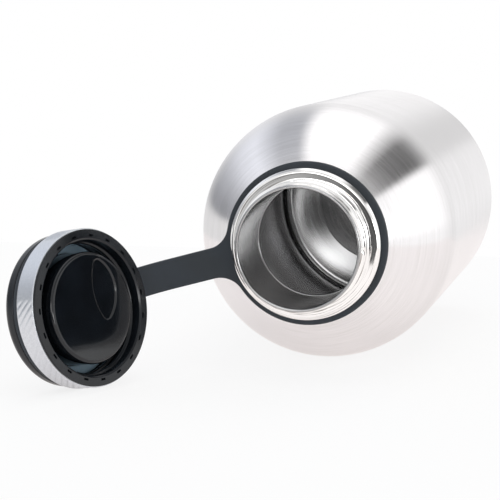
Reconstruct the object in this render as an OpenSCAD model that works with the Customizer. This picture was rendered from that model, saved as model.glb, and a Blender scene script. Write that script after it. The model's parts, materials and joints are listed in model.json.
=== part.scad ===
// Double-walled steel growler lying on its side, with its screw cap off and held by a soft strap.
// The origin is the centre of the mouth. The bottle runs along +Y to its base, and +Z is up.
// Lengths are millimetres and angles are degrees.

/* [Outer shell] */
// Outside diameter of the body
body_d = 127; // [115:1:140]
// Length from the mouth to the foot
bottle_h = 254; // [220:1:300]
// Thickness of the outer shell
shell_t = 0.8; // [0.6:0.1:1.2]
// Radius of the rounded edge round the base
base_edge = 4; // [3:0.5:6]
// Straight part of the base that laps into the tube's end
base_lap = 3; // [2:0.5:6]
// Width of the flat foot ring
foot_w = 6; // [4:0.5:10]
// Depth of the recess inside the foot ring
base_recess = 2.5; // [1.5:0.5:4]

/* [Neck] */
// Inside diameter of the mouth
mouth_d = 56; // [50:0.5:58]
// Depth of the straight neck inside
neck_depth = 43; // [36:1:52]
// Room between the two sheets that the lip joins
lip_gap = 0.1; // [0.05:0.05:0.5]
// Height of the rolled lip
lip_h = 1.8; // [1.4:0.1:2.4]
// How far the bead below the thread stands out from the thread's wall
bead_out = 6.5; // [6:0.1:9]
// Height of the bead
bead_t = 4.5; // [3.5:0.5:6]
// Fillet between the thread's wall and the bead
neck_fillet = 2; // [1:0.25:2.5]
// How far the strap's seat lies inside the bead
seat_step = 1.8; // [1.2:0.1:3]
// Length of that seat
seat_len = 6; // [5:0.5:9]

/* [Thread] */
// Rise of the thread in one turn
thread_pitch = 5; // [4:0.25:6]
// Height of the thread above its wall
thread_h = 1.4; // [1:0.1:1.6]
// Width of the thread at its wall
thread_w = 3; // [2:0.25:3.5]
// Depth of the thread's start below the lip
thread_start = 2; // [1.75:0.25:3]
// Room between the thread's end and the bottom of the cap's gap
thread_end = 1.25; // [1:0.25:3]
// Room between the thread of the neck and the thread of the cap
thread_play = 0.3; // [0.2:0.1:0.5]

/* [Inner vessel] */
// Gap between the vessel and the outer shell
vacuum_gap = 3.8; // [2:0.1:10]
// Thickness of the inner vessel
liner_t = 0.6; // [0.5:0.1:0.8]
// Height of the pressed bottom's own wall
bottom_wall = 9; // [7:0.5:14]
// Diameter of the flat disc in the middle of the bottom
disc_d = 75; // [50:1:80]
// Room between the pressed bead round the dish and the wall
dish_land = 3.8; // [2:0.1:6]
// Height of that bead above the disc
dish_rise = 5; // [3:0.5:6]
// Gap between the vessel's bottom and the base
floor_gap = 5; // [4:0.5:8]
// Thickness of the copper foil
foil_t = 0.2; // [0.1:0.05:0.3]
// Bare vessel wall left at each end of the foil
foil_margin = 6; // [2:1:20]
// Diameter of the getter pill
getter_d = 12; // [8:1:16]
// Thickness of the getter pill
getter_t = 2; // [1:0.5:2.5]
// Diameter of the evacuation hole
port_d = 3; // [2:0.5:4]
// Diameter of the glass bead over the hole
seal_d = 9; // [7:0.5:12]
// Height of the glass bead
seal_h = 1.4; // [0.8:0.1:1.5]

/* [Cap] */
// Thickness of the top cover over the deck
top_t = 3.7; // [3:0.1:8]
// Depth of the gap that takes the neck
cap_depth = 15; // [13:0.5:16]
// Room between the closed cap's rim and the bead
rim_gap = 1; // [0.5:0.25:2]
// Height of the black lip below the steel band
rim_h = 1; // [0.6:0.1:2]
// Height of the steel band
band_h = 10.3; // [9:0.1:11]
// Thickness of the steel band
band_t = 1.5; // [1.2:0.1:2]
// How far the rim stands out from the wall under the band
rim_step = 1; // [0.5:0.1:1.2]
// Width of the bevel that leads the neck into the rim
lead_w = 0.8; // [0.3:0.1:1.2]
// Height of that bevel
lead_h = 0.6; // [0.3:0.1:0.9]
// Wall behind the thread, at the loop's groove
skirt_t = 1.3; // [1.1:0.1:1.6]
// Thickness of the deck over the plug
deck_t = 1.8; // [1.2:0.1:2.4]
// Radius of the top cover's edge
top_edge = 4; // [2:0.5:5]
// How far the top cover stays inside the rim
top_inset = 0.8; // [0.4:0.1:1.5]
// Depth of the shallow dish in the top cover
top_dish = 0.6; // [0.3:0.1:1]
// Width of the flat border round that dish
top_border = 7; // [5:0.5:12]
// Room between the plug and the mouth
plug_play = 2.2; // [1.5:0.1:3]
// Wall of the plug
plug_t = 1.6; // [1.2:0.1:2]
// Rounded edge of the plug
plug_edge = 1.8; // [0.8:0.1:2]
// Depth of the hollow in the plug's face
plug_dish = 1; // [0.4:0.1:1.2]
// How far the finger pocket's flat floor lies below the deepest point of that hollow
pocket_depth = 0.5; // [0.3:0.1:0.8]
// Length of the leaf-shaped pocket from tip to tip
pocket_len = 30.5; // [20:0.5:34]
// Room between the pocket's outer tip and the plug's rounded edge
pocket_margin = 0.7; // [0.4:0.1:3]
// Distance of the line between its tips from the middle of the plug
pocket_off = 8.2; // [6:0.1:12]
// How far the pocket swells from that line towards the middle
pocket_in = 4.5; // [2:0.5:6]
// How far it swells from that line towards the edge
pocket_out = 9.5; // [6:0.5:10]
// Thickness of the gasket
gasket_t = 1.5; // [1:0.1:2]
// Room round the gasket and the foam
soft_play = 0.2; // [0.1:0.05:0.3]
// Pockets in the rim
rim_pockets = 19; // [12:1:24]
// Size of a rim pocket across, along and deep
rim_pocket = [0.9, 2.6, 2]; // [0.5:0.1:4]
// Distance of the rim pockets' middle from the inside of the rim
rim_pocket_in = 1.9; // [1.4:0.1:2.8]
// Turn of the first rim pocket from the side away from the strap
rim_pocket_turn = 10.5; // [0:0.5:30]

/* [Steel band grip] */
// Serrations that a full turn would hold
serrations = 60; // [40:1:100]
// Depth of a serration
serration_depth = 0.35; // [0.2:0.05:0.5]
// Slant of the serrations from the cap's axis, against the turn
serration_slant = 45; // [20:1:50]
// Plain part of the band, as an angle
pad_angle = 50; // [30:5:90]
// Middle of the plain part, from the side away from the strap
pad_turn = 45; // [-90:5:90]
// Angle over which the serrations fade beside the plain part
pad_fade = 4; // [2:1:10]

/* [Strap] */
// Thickness of the strap
strap_t = 3.4; // [2.5:0.1:3.8]
// Width of the arm
arm_w = 14.5; // [10:0.5:16]
// How far the arm lies above the line between the two rings' centres
arm_shift = 1.7; // [0:0.1:3]
// Width of the collar's ring
collar_w = 4.3; // [3.5:0.1:6]
// Fillet where the arm leaves the collar
collar_flare = 12; // [6:0.5:16]
// Fillet where the arm leaves the loop
loop_flare = 5; // [3:0.5:7]
// How far the loop stays inside the rim
loop_inset = 0.6; // [0.4:0.1:1.2]
// Straight arm from the flare to the bend
arm_straight = 20.5; // [15:0.1:30]
// Radius of the bend
bend_r = 21.2; // [14:0.1:30]
// Angle of the bend
bend_angle = 64.5; // [40:0.5:80]
// Twist of the arm over the bend
arm_twist = -4.2; // [-10:0.1:10]
// Room round the collar and the loop
ring_play = 0.3; // [0.2:0.05:0.4]

/* [Hidden] */
$fn = 96;

// Bottle, as radii and as depths below the mouth
body_r = body_d / 2;
mouth_r = mouth_d / 2;
lip_w = liner_t + lip_gap + shell_t;
root_r = mouth_r + lip_w;
bead_r = root_r + bead_out;
seat_r = bead_r - seat_step;
thread_turns = (cap_depth - thread_start - thread_w - thread_end) / thread_pitch;
bead_top = cap_depth + rim_gap;
bead_end = bead_top + bead_t;
seat_end = bead_end + seat_len;
dome_y = seat_end + sqrt(body_r ^ 2 - seat_r ^ 2);
dome_in_r = body_r - shell_t;
neck_end = dome_y - sqrt(dome_in_r ^ 2 - seat_r ^ 2);
tube_end = bottle_h - base_edge - base_lap;
recess_r = body_r - base_edge - foot_w;
pan_y = bottle_h - base_recess;

vessel_out_r = body_r - shell_t - vacuum_gap;
vessel_r = vessel_out_r - liner_t;
vessel_dome_y = neck_depth + sqrt(vessel_r ^ 2 - mouth_r ^ 2);
floor_y = pan_y - shell_t - floor_gap - liner_t;
wall_end = floor_y - bottom_wall;
disc_r = disc_d / 2;
dish_r = vessel_r - dish_land;
dish_steps = 12;

// Cap, as radii and as heights above its rim
skirt_in_r = root_r + thread_h + thread_play;
skirt_r = bead_r - rim_step;
band_r = skirt_r + band_t;
band_top = rim_h + band_h;
groove_h = strap_t + 2 * ring_play;
groove_top = band_top + groove_h;
groove_r = skirt_in_r + skirt_t;
deck_h = cap_depth + gasket_t;
deck_top = deck_h + deck_t;
cap_h = deck_top + top_t;
top_r = bead_r - top_inset;
plug_r = mouth_r - plug_play;
plug_in_r = plug_r - plug_t;
plug_face_r = plug_r - plug_edge;
plug_floor = plug_dish + plug_t;
serration_turn = -band_h * tan(serration_slant) / band_r * 180 / PI;
band_rings = 5;
points_per_serration = 3;

// Strap, in its own plane: u runs out from the bottle's axis, v towards the mouth's side, w across the arm
collar_y = bead_end + ring_play + strap_t / 2;
collar_in_r = seat_r + ring_play;
collar_r = collar_in_r + collar_w;
loop_in_r = groove_r + ring_play;
loop_r = bead_r - loop_inset;
loop_h = band_top + groove_h / 2;
arm_edges = [arm_w / 2 - arm_shift, arm_w / 2 + arm_shift];
collar_stub = flare_end(collar_r, collar_flare, min(arm_edges));
loop_stub = flare_end(loop_r, loop_flare, min(arm_edges));
bend_u = collar_stub + arm_straight;
loop_u = bend_u + bend_r * sin(bend_angle) + loop_stub * cos(bend_angle);
loop_v = bend_r * (1 - cos(bend_angle)) + loop_stub * sin(bend_angle) - collar_y;
bend_steps = 14;
cap_edges = [[band_r, band_top], [top_r, cap_h - top_edge]];
drop_range = [-20, 70];
drop_steps = 48;
arm_drop = settled_drop(drop_range[0], drop_range[1], drop_steps);

// Where a fillet of radius f ends, between a ring of radius r and an edge of the arm at e from its centre
function flare_end(r, f, e) = sqrt((r + f) ^ 2 - (e + f) ^ 2);

// Directions of the strap and the cap when the arm drops by an angle below the horizontal
function arm_dir(drop) = [-cos(drop), 0, -sin(drop)];
function across_dir(drop) = [-sin(drop), 0, cos(drop)];
function cap_dir(drop) = cos(arm_twist) * (sin(bend_angle) * arm_dir(drop) + [0, cos(bend_angle), 0])
    - sin(arm_twist) * across_dir(drop);
function loop_centre(drop) = loop_u * arm_dir(drop) - [0, loop_v, 0];
function rim_centre(drop) = loop_centre(drop) - loop_h * cap_dir(drop);

// Lowest point of a round edge of the cap, and the drop that sets the cap down on the surface under the body
function edge_low(drop, r, h) =
    let (n = cap_dir(drop), c = rim_centre(drop) + h * n)
    c[2] - r * sqrt(1 - n[2] ^ 2);
function cap_low(drop) = min([for (e = cap_edges) edge_low(drop, e[0], e[1])]);
function settled_drop(low, high, steps) =
    let (mid = (low + high) / 2)
    steps == 0 ? mid
    : cap_low(mid) > -body_r ? settled_drop(mid, high, steps - 1)
    : settled_drop(low, mid, steps - 1);

// Places

// A section drawn as radius and depth below the mouth, turned round the bottle's axis
module turned() {
    rotate([-90, 0, 0]) rotate_extrude() children();
}

module strap_place() {
    rotate([0, -arm_drop, 0]) rotate([0, 0, 180]) children();
}

// Origin at the loop's centre on the cap's axis, x along the arm and z towards the cap's top
module loop_place() {
    strap_place()
        translate([loop_u, loop_v, 0])
            rotate([0, 0, bend_angle])
                rotate([90 + arm_twist, 0, 0])
                    children();
}

// Origin at the centre of the cap's rim
module cap_place() {
    loop_place() translate([0, 0, -loop_h]) children();
}

// Shapes

// Half section of a solid with a rounded outer edge at its far end
module rounded_end(r, from, to, edge) {
    translate([0, from]) square([r, to - edge - from]);
    translate([0, from]) square([r - edge, to - from]);
    translate([r - edge, to - edge])
        intersection() {
            circle(edge);
            square(edge);
        }
}

// Half section of a wall between two spheres, above the middle and outside a hole
module dome_section(r, t, hole_r) {
    intersection() {
        difference() {
            circle(r);
            circle(r - t);
        }
        translate([hole_r, -r]) square([r, r]);
    }
}

module tube(r_in, r_out, from, to) {
    translate([0, 0, from])
        difference() {
            cylinder(r = r_out, h = to - from);
            translate([0, 0, -1]) cylinder(r = r_in, h = to - from + 2);
        }
}

// A solid through a row of sections, each a closed loop of points that runs clockwise seen along the row
module swept(sections) {
    count = len(sections);
    sides = len(sections[0]);
    polyhedron(
        points = [for (s = sections) each s],
        faces = [
            for (i = [0:count - 2], k = [0:sides - 1])
                let (a = i * sides + k, b = i * sides + (k + 1) % sides)
                each [[a, b, b + sides], [a, b + sides, a + sides]],
            [for (k = [0:sides - 1]) sides - 1 - k],
            [for (k = [0:sides - 1]) (count - 1) * sides + k]
        ]
    );
}

// A round-topped ridge that climbs a wall of radius r; side is 1 on an outside wall and -1 on an inside one
module thread_ridge(r, start, side) {
    steps_per_turn = 40;
    steps = round(thread_turns * steps_per_turn);
    run_out = steps_per_turn / 6;
    sink = thread_h / 5;
    shape = [[0, -0.5], [0.72, -0.28], [1, 0], [0.72, 0.28], [0, 0.5]];
    order = side > 0 ? shape : [for (k = [len(shape) - 1:-1:0]) shape[k]];
    swept([
        for (i = [0:steps])
            let (
                a = i * 360 / steps_per_turn,
                grow = max(0.1, min(1, i / run_out, (steps - i) / run_out)),
                z = start + thread_w / 2 + thread_pitch * i / steps_per_turn
            )
            [for (p = order)
                let (rr = r + side * ((thread_h + sink) * p[0] * grow - sink))
                [rr * cos(a), rr * sin(a), z + thread_w * p[1]]]
    ]);
}

// A flat ring with an arm that leaves it along +x with filleted corners; edges are the distances of the arm's
// lower and upper edge from the ring's centre
module ring_with_stub(r_in, r_out, flare, stub, edges) {
    linear_extrude(strap_t, center = true)
        difference() {
            union() {
                circle(r_out);
                translate([0, -edges[0]]) square([stub, arm_w]);
                for (k = [0, 1]) {
                    reach = flare_end(r_out, flare, edges[k]);
                    middle = edges[k] + flare;
                    mirror([0, 1 - k])
                        difference() {
                            polygon([[0, 0], [reach, 0], [reach, middle]]);
                            translate([reach, middle]) circle(flare);
                        }
                }
            }
            circle(r_in);
        }
}

// Bottle

module shoulder_dome() {
    color([0.78, 0.77, 0.77])
        turned() translate([0, dome_y]) dome_section(body_r, shell_t, seat_r);
}

module body_tube() {
    color([0.86, 0.85, 0.86])
        rotate([-90, 0, 0]) tube(body_r - shell_t, body_r, dome_y, tube_end);
}

module base_plate() {
    pan_shift = shell_t * (sqrt(2) - 1);
    color([0.8, 0.8, 0.8])
        rotate([-90, 0, 0])
            difference() {
                rotate_extrude()
                    difference() {
                        rounded_end(body_r, tube_end, bottle_h, base_edge);
                        polygon([[0, pan_y], [recess_r - base_recess, pan_y], [recess_r, bottle_h],
                            [recess_r, bottle_h + 1], [0, bottle_h + 1]]);
                        difference() {
                            rounded_end(body_r - shell_t, tube_end - 1, bottle_h - shell_t,
                                base_edge - shell_t);
                            polygon([
                                [0, pan_y - shell_t], [recess_r - base_recess + pan_shift, pan_y - shell_t],
                                [recess_r + pan_shift, bottle_h - shell_t], [recess_r + pan_shift, bottle_h],
                                [0, bottle_h]
                            ]);
                        }
                    }
                translate([0, 0, pan_y - 2 * shell_t]) cylinder(d = port_d, h = 3 * shell_t);
            }
}

// The thread's wall, the bead and the strap's seat, with the hollow behind them
module neck_section() {
    bead_half = bead_t / 2;
    difference() {
        union() {
            translate([0, lip_h]) square([root_r, bead_end - lip_h]);
            difference() {
                translate([0, bead_top - neck_fillet]) square([root_r + neck_fillet, neck_fillet]);
                translate([root_r + neck_fillet, bead_top - neck_fillet]) circle(neck_fillet);
            }
            translate([0, bead_top]) square([bead_r - bead_half, bead_t]);
            translate([bead_r - bead_half, bead_top + bead_half]) circle(bead_half);
            translate([0, bead_end - bead_half]) square([seat_r, neck_end - bead_end + bead_half]);
        }
        polygon([[0, 0], [root_r - shell_t, 0], [root_r - shell_t, bead_top], [seat_r - shell_t, bead_end],
            [seat_r - shell_t, neck_end + 1], [0, neck_end + 1]]);
    }
}

module neck_ring() {
    color([0.93, 0.93, 0.92])
        rotate([-90, 0, 0]) {
            rotate_extrude() neck_section();
            thread_ridge(root_r, thread_start, 1);
        }
}

module liner_top() {
    lip_r = lip_w / 2;
    color([0.62, 0.61, 0.6])
        turned() {
            translate([mouth_r + lip_r, lip_r]) circle(lip_r);
            translate([mouth_r, lip_r]) square([lip_w, lip_h - lip_r]);
            translate([mouth_r, lip_r]) square([liner_t, neck_depth - lip_r]);
            translate([0, vessel_dome_y]) dome_section(vessel_out_r, liner_t, mouth_r);
        }
}

module liner_wall() {
    color([0.5, 0.49, 0.49])
        rotate([-90, 0, 0]) tube(vessel_r, vessel_out_r, vessel_dome_y, wall_end);
}

// Depth of the pressed bottom at radius r: a flat disc, a dish that climbs ever steeper to the bead
function dish_depth(r) = floor_y - dish_rise * max(0, (r - disc_r) / (dish_r - disc_r)) ^ 1.5;

module liner_bottom() {
    land = dish_land / 2;
    inside = concat(
        [[0, floor_y]],
        [for (i = [0:dish_steps]) let (r = disc_r + (dish_r - disc_r) * i / dish_steps) [r, dish_depth(r)]],
        [[dish_r + land / 2, floor_y - dish_rise], [dish_r + land, floor_y - liner_t]]
    );
    last = len(inside) - 1;
    color([0.66, 0.65, 0.64])
        turned() {
            polygon(concat(
                inside,
                [[vessel_r, floor_y - liner_t], [vessel_r, wall_end], [vessel_out_r, wall_end],
                    [vessel_out_r, floor_y]],
                [for (i = [last:-1:0]) inside[i] + [0, liner_t]]
            ));
        }
}

module copper_foil() {
    color([0.72, 0.45, 0.3])
        rotate([-90, 0, 0])
            tube(vessel_out_r, vessel_out_r + foil_t, vessel_dome_y + foil_margin, wall_end - foil_margin);
}

module getter() {
    color([0.35, 0.35, 0.36])
        rotate([-90, 0, 0]) translate([0, 0, floor_y + liner_t]) cylinder(d = getter_d, h = getter_t);
}

// A flat drop of glass with a plug that fills the hole
module vacuum_seal() {
    flat_r = seal_d / 2 - seal_h;
    color([0.25, 0.3, 0.3])
        turned() {
            translate([0, pan_y]) square([flat_r, seal_h]);
            intersection() {
                translate([flat_r, pan_y]) circle(seal_h);
                translate([0, pan_y]) square([seal_d / 2, seal_h]);
            }
            translate([0, pan_y - shell_t]) square([port_d / 2, shell_t]);
        }
}

// Cap

module cap_skirt() {
    pocket_r = skirt_in_r + rim_pocket_in;
    boss_r = plug_in_r - soft_play;
    color([0.17, 0.18, 0.2])
        cap_place() {
            difference() {
                union() {
                    cylinder(r = bead_r, h = rim_h);
                    cylinder(r = skirt_r, h = band_top);
                    cylinder(r = groove_r, h = deck_top);
                }
                translate([0, 0, -1]) cylinder(r = skirt_in_r, h = deck_h + 1);
                cylinder(r1 = skirt_in_r + lead_w, r2 = skirt_in_r, h = lead_h);
                for (i = [0:rim_pockets - 1]) {
                    rotate([0, 0, rim_pocket_turn + i * 360 / rim_pockets])
                        translate([pocket_r, 0, rim_pocket[2] / 2 - 1])
                            cube(rim_pocket + [0, 0, 2], center = true);
                }
            }
            tube(boss_r - plug_t, boss_r, cap_depth, deck_h);
            thread_ridge(skirt_in_r, thread_start, -1);
        }
}

// How deep the grip is cut at an angle: full on the serrated part and nothing on the plain pad
function grip(a) =
    let (off = abs((a - pad_turn + 540) % 360 - 180))
    min(1, max(0, (off - pad_angle / 2) / pad_fade));

// Rings of points climb the serrated outside and go down the plain inside, and all lean with the serrations.
// The inside is wide enough that its leaning facets stay clear of the skirt
module cap_band() {
    count = serrations * points_per_serration;
    step = 360 / count;
    lean = serration_turn / band_rings;
    wave = [0, 1, 0.45];
    inner_r = skirt_r / cos((step + abs(lean)) / 2);
    outside = [for (j = [0:band_rings])
        [for (i = [0:count - 1])
            let (
                a = i * step + j * lean,
                r = band_r - serration_depth * wave[i % points_per_serration] * grip(a)
            )
            [r * cos(a), r * sin(a), rim_h + band_h * j / band_rings]]];
    inside = [for (j = [band_rings:-1:0])
        [for (i = [0:count - 1])
            let (a = i * step + j * lean)
            [inner_r * cos(a), inner_r * sin(a), rim_h + band_h * j / band_rings]]];
    loops = concat(outside, inside);
    total = len(loops);
    color([0.77, 0.79, 0.81])
        cap_place()
            polyhedron(
                points = [for (l = loops) each l],
                faces = [
                    for (j = [0:total - 1], i = [0:count - 1])
                        let (
                            k = (i + 1) % count,
                            up = (j + 1) % total
                        )
                        each [[j * count + i, up * count + i, up * count + k],
                            [j * count + i, up * count + k, j * count + k]]
                ]
            );
}

// Outline of the finger pocket in the plug's face: a leaf where two discs overlap
module pocket_outline() {
    half = pocket_len / 2;
    tip = sqrt((plug_face_r - pocket_margin) ^ 2 - pocket_off ^ 2);
    in_r = arc_radius(half, pocket_in);
    out_r = arc_radius(half, pocket_out);
    translate([-pocket_off, tip - half])
        intersection() {
            translate([pocket_in - in_r, 0]) circle(in_r);
            translate([out_r - pocket_out, 0]) circle(out_r);
        }
}

// Radius of an arc that rises by a height over the middle of a chord
function arc_radius(half_chord, rise) = (half_chord ^ 2 + rise ^ 2) / (2 * rise);

module cap_plug() {
    dish_ball = arc_radius(plug_face_r, plug_dish);
    color([0.13, 0.14, 0.16])
        cap_place()
            difference() {
                rotate_extrude()
                    difference() {
                        union() {
                            translate([0, plug_edge]) square([plug_r, deck_h - plug_edge]);
                            square([plug_face_r, deck_h]);
                            translate([plug_face_r, plug_edge]) circle(plug_edge);
                        }
                        translate([0, plug_dish - dish_ball]) circle(dish_ball, $fn = 720);
                        translate([0, plug_floor]) square([plug_in_r, deck_h]);
                    }
                translate([0, 0, -1]) linear_extrude(plug_dish + pocket_depth + 1) pocket_outline();
            }
}

module cap_foam() {
    color([0.9, 0.88, 0.8])
        cap_place()
            translate([0, 0, plug_floor])
                cylinder(r = plug_in_r - soft_play, h = cap_depth - plug_floor - soft_play);
}

module cap_gasket() {
    color([0.38, 0.44, 0.48])
        cap_place() tube(plug_r + soft_play, skirt_in_r - soft_play, cap_depth, deck_h);
}

module cap_top() {
    color([0.2, 0.21, 0.23])
        cap_place()
            rotate_extrude()
                difference() {
                    rounded_end(top_r, groove_top, cap_h, top_edge);
                    translate([0, groove_top - 1]) square([groove_r, deck_top - groove_top + 1]);
                    translate([0, cap_h - top_dish]) square([top_r - top_border, top_dish + 1]);
                }
}

// Strap

module strap_collar() {
    color([0.24, 0.25, 0.27])
        strap_place()
            translate([0, -collar_y, 0])
                rotate([90, 0, 0])
                    ring_with_stub(collar_in_r, collar_r, collar_flare, collar_stub, arm_edges);
}

// The middle of the arm at a share of its bend
function bend_point(s) =
    let (a = bend_angle * s)
    [bend_u + bend_r * sin(a), bend_r * (1 - cos(a)) - collar_y, 0];

// A section of the arm, turned by the bend and by its share of the twist
function arm_section(centre, share) =
    let (
        a = bend_angle * share,
        t = arm_twist * share,
        face = [-sin(a), cos(a), 0],
        across = [0, 0, cos(t)] - sin(t) * face,
        through = cos(t) * face + [0, 0, sin(t)]
    )
    [for (c = [[-1, -1], [1, -1], [1, 1], [-1, 1]])
        centre + (c[0] * arm_w / 2 + arm_shift) * across + c[1] * strap_t / 2 * through];

module strap_arm() {
    start = [collar_stub, -collar_y, 0];
    color([0.24, 0.25, 0.27])
        strap_place()
            swept(concat(
                [arm_section(start, 0)],
                [for (i = [0:bend_steps]) arm_section(bend_point(i / bend_steps), i / bend_steps)]
            ));
}

module strap_loop() {
    color([0.24, 0.25, 0.27])
        loop_place()
            mirror([1, 0, 0]) ring_with_stub(loop_in_r, loop_r, loop_flare, loop_stub, arm_edges);
}

shoulder_dome();
body_tube();
base_plate();
neck_ring();
liner_top();
liner_wall();
liner_bottom();
copper_foil();
getter();
vacuum_seal();
cap_skirt();
cap_band();
cap_plug();
cap_foam();
cap_gasket();
cap_top();
strap_collar();
strap_arm();
strap_loop();
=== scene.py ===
# Growler lying on its side, with its screw cap off and held by the strap
import json
import math
import bmesh
import bpy
import numpy as np
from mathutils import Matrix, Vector


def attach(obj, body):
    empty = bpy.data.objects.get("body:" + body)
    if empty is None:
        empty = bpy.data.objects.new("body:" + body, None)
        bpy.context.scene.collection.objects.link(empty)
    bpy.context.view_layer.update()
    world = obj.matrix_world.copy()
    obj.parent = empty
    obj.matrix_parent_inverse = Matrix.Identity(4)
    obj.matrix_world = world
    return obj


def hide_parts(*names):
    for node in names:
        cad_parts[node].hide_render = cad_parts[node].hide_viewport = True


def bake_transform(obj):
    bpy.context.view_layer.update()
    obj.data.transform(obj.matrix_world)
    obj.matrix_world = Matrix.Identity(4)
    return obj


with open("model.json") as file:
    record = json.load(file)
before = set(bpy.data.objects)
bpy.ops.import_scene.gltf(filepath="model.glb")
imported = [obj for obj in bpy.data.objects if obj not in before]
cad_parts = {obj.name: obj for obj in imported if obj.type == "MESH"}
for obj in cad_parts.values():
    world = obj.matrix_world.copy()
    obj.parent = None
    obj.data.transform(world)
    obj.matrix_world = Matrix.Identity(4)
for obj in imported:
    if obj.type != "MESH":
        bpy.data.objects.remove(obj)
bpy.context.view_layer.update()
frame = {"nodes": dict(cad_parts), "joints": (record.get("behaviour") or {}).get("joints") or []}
print("frame loaded,", len(frame["nodes"]), "nodes")

# Lengths are millimetres until a mesh is made, and metres for the camera and the floor
metre = 0.001
nearly = 1e-6  # places closer than this are the same
joints = {j["name"]: j for j in frame["joints"]}
up = np.array([0.0, 0.0, 1.0])
bottleAxis = np.array([0.0, 1.0, 0.0])


def unit(v):
    return np.asarray(v, float) / np.linalg.norm(v)


def jointPlace(name):
    return np.array(joints[name]["pos_m"]) / metre, unit(joints[name]["axis"])


# A place is an origin and three directions: where the angle is 0, where it is 90 degrees, and the axis
def makePlace(origin, first, axis):
    return np.asarray(origin, float), unit(first), unit(np.cross(axis, first)), unit(axis)


# Heights and radii of a node about the axis of a place
def measure(node, place):
    origin, _, _, axis = place
    mesh = frame["nodes"][node].data
    co = np.empty(len(mesh.vertices) * 3)
    mesh.vertices.foreach_get("co", co)
    co = co.reshape(-1, 3) / metre - origin
    height = co @ axis
    radius = np.linalg.norm(co - height[:, None] * axis, axis=1)
    return {"low": height.min(), "high": height.max(), "inner": radius.min(), "outer": radius.max()}


hinge, hingeAxis = jointPlace("strap_bend")
loopCentre, capAxis = jointPlace("cap_spin")
collarCentre, _ = jointPlace("collar_swivel")
bottlePlace = makePlace([0, 0, 0], -up, bottleAxis)
loopPlace = makePlace(loopCentre, loopCentre - hinge, capAxis)
rimHeight = measure("cap_skirt", loopPlace)["low"]
capPlace = makePlace(loopCentre + rimHeight * capAxis, loopCentre - hinge, capAxis)

# Curves in a section, as rows of radius and height; count is how many rows a curve has


def line(start, end, count):
    share = np.linspace(0, 1, count)[:, None]
    return np.array(start) + share * (np.array(end) - np.array(start))


def arc(centre, radius, fromDeg, toDeg, count):
    angle = np.radians(np.linspace(fromDeg, toDeg, count))
    return np.array(centre) + radius * np.stack([np.cos(angle), np.sin(angle)], axis=1)


# Straight runs between corners of radius, height and fillet; each fillet is an arc that touches both runs,
# and each run has a point close to its ends, which keeps its shading flat
def outline(corners, closed=True, steps=7, hold=0.12):
    corner = np.array(corners, float)
    stretches = []
    for k, (r, h, fillet) in enumerate(corner):
        here = np.array([r, h])
        atEnd = not closed and k in (0, len(corner) - 1)
        if fillet == 0 or atEnd:
            stretches.append(here[None])
            continue
        back = unit(corner[k - 1, :2] - here)
        ahead = unit(corner[(k + 1) % len(corner), :2] - here)
        half = 0.5 * math.acos(np.clip(back @ ahead, -1, 1))
        centre = here + unit(back + ahead) * fillet / math.sin(half)
        first = here + back * fillet / math.tan(half) - centre
        last = here + ahead * fillet / math.tan(half) - centre
        begin = math.atan2(first[1], first[0])
        sweep = (math.atan2(last[1], last[0]) - begin + math.pi) % (2 * math.pi) - math.pi
        stretches.append(arc(centre, fillet, math.degrees(begin), math.degrees(begin + sweep), steps))
    rows = []
    for k, stretch in enumerate(stretches):
        rows.append(stretch)
        if k == len(stretches) - 1 and not closed:
            break
        start, end = stretch[-1], stretches[(k + 1) % len(stretches)][0]
        length = np.linalg.norm(end - start)
        if length > 4 * hold:
            share = np.array([[hold / length], [1 - hold / length]])
            rows.append(start + share * (end - start))
    return np.concatenate(rows)


# Meshes


# A soft step from 0 at low to 1 at high
def smooth(low, high, x):
    t = np.clip((x - low) / (high - low), 0, 1)
    return t * t * (3 - 2 * t)


# Six times the volume inside a closed mesh, which is negative where its faces point inwards
def insideSign(verts, faces):
    total = 0.0
    for k in range(1, faces.shape[1] - 1):
        a, b, c = verts[faces[:, 0]], verts[faces[:, k]], verts[faces[:, k + 1]]
        total += np.einsum("ij,ij->", a, np.cross(b, c))
    return total


def putMesh(name, verts, faceSets, uvSets, sharpDeg=38):
    if sum(insideSign(verts - verts.mean(axis=0), f) for f in faceSets) < 0:
        faceSets = [f[:, ::-1] for f in faceSets]
        uvSets = [u[:, ::-1] for u in uvSets]
    mesh = bpy.data.meshes.new(name)
    mesh.from_pydata((verts * metre).tolist(), [], [f for s in faceSets for f in s.tolist()])
    layer = mesh.uv_layers.new(name="along")
    places = np.concatenate([u.reshape(-1, 2) for u in uvSets])
    layer.data.foreach_set("uv", places.astype(np.float32).ravel())
    mesh.shade_smooth()
    mesh.set_sharp_from_angle(angle=math.radians(sharpDeg))
    piece = bpy.data.objects.new(name, mesh)
    bpy.context.scene.collection.objects.link(piece)
    return piece


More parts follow.
